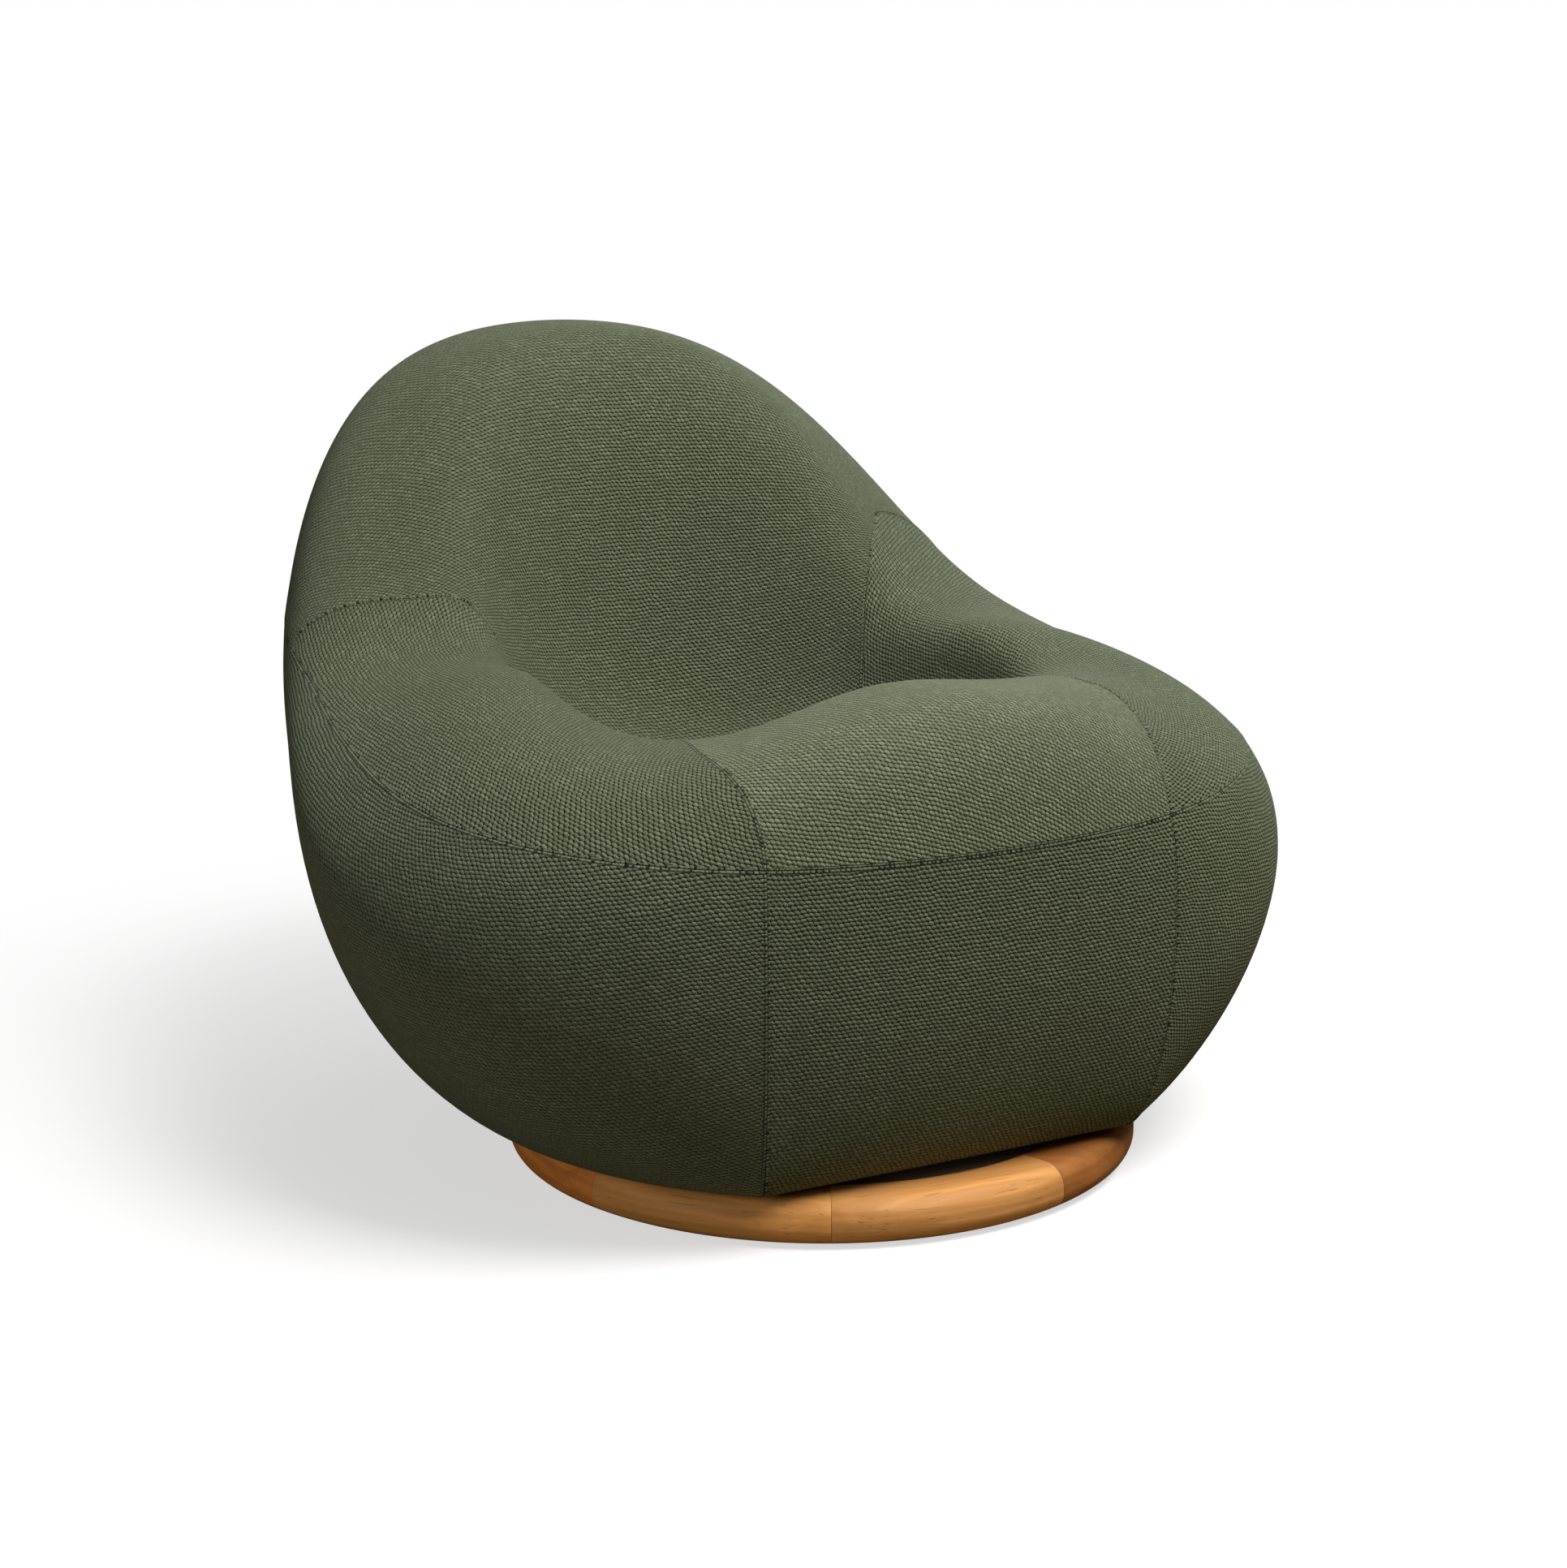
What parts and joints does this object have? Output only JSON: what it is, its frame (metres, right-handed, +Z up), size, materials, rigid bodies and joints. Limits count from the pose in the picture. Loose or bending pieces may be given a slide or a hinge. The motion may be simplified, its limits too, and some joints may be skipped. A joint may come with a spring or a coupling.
{
  "type": "swivel lounge chair",
  "caption": "Low swivel lounge chair: a rounded padded shell in dark green woven cloth that turns on a round base ring of pale brown wood.",
  "frame": {"origin": "on the floor under the middle of the chair's bounding box; the swivel axis is 0.190 m in front of it", "axes": "+Z up, the front of the chair faces -Y, +X is the sitter's left"},
  "size_m": [0.891, 0.9291, 0.6894],
  "materials": {
    "green_cloth": "coarse basket weave in dark sage green, matt and slightly fuzzy",
    "black_cloth": "thin black non-woven cloth",
    "foam": "open-cell cushion foam, matt",
    "plywood": "birch plywood, unfinished",
    "ring_wood": "oiled honey-brown hardwood, satin",
    "steel": "zinc-plated steel",
    "glide": "black plastic"
  },
  "bodies": {
    "base": {"ring_segment_1": "ring_wood", "ring_segment_2": "ring_wood", "ring_segment_3": "ring_wood", "ring_segment_4": "ring_wood", "ring_segment_5": "ring_wood", "ring_segment_6": "ring_wood", "ring_segment_7": "ring_wood", "ring_segment_8": "ring_wood", "glide_1": "glide", "glide_2": "glide", "glide_3": "glide", "glide_4": "glide", "glide_5": "glide", "glide_6": "glide", "glide_7": "glide", "glide_8": "glide", "base_board": "plywood", "lower_plate": "steel", "lower_screw_1": "steel", "lower_screw_2": "steel", "lower_screw_3": "steel", "lower_screw_4": "steel", "pivot_pin": "steel"},
    "cage": {"ball_cage": "steel", "ball_1": "steel", "ball_2": "steel", "ball_3": "steel", "ball_4": "steel", "ball_5": "steel", "ball_6": "steel"},
    "seat": {"front_cover": "green_cloth", "side_cover_right": "green_cloth", "side_cover_left": "green_cloth", "arm_cover_right": "green_cloth", "arm_cover_left": "green_cloth", "back_cover": "green_cloth", "seat_cover": "green_cloth", "dust_cover": "black_cloth", "front_foam": "foam", "side_foam_right": "foam", "side_foam_left": "foam", "arm_foam_right": "foam", "arm_foam_left": "foam", "back_foam": "foam", "seat_foam": "foam", "bottom_board": "plywood", "seat_deck": "plywood", "rib_right": "plywood", "rib_left": "plywood", "cross_rib_front": "plywood", "cross_rib_rear": "plywood", "back_hoop": "steel", "post_right": "steel", "post_left": "steel", "upper_plate": "steel", "upper_screw_1": "steel", "upper_screw_2": "steel", "upper_screw_3": "steel", "upper_screw_4": "steel"}
  },
  "joints": [
    {"name": "seat_swivel", "type": "hinge", "parent": "base", "child": "seat", "pos_m": [0, -0.1897, 0.04], "axis": [0, 0, 1], "continuous": true},
    {"name": "cage_spin", "type": "hinge", "parent": "base", "child": "cage", "pos_m": [0, -0.1897, 0.04], "axis": [0, 0, 1], "continuous": true}
  ],
  "couplings": [
    {"joint": "cage_spin", "follows": "seat_swivel", "ratio": 0.5}
  ]
}
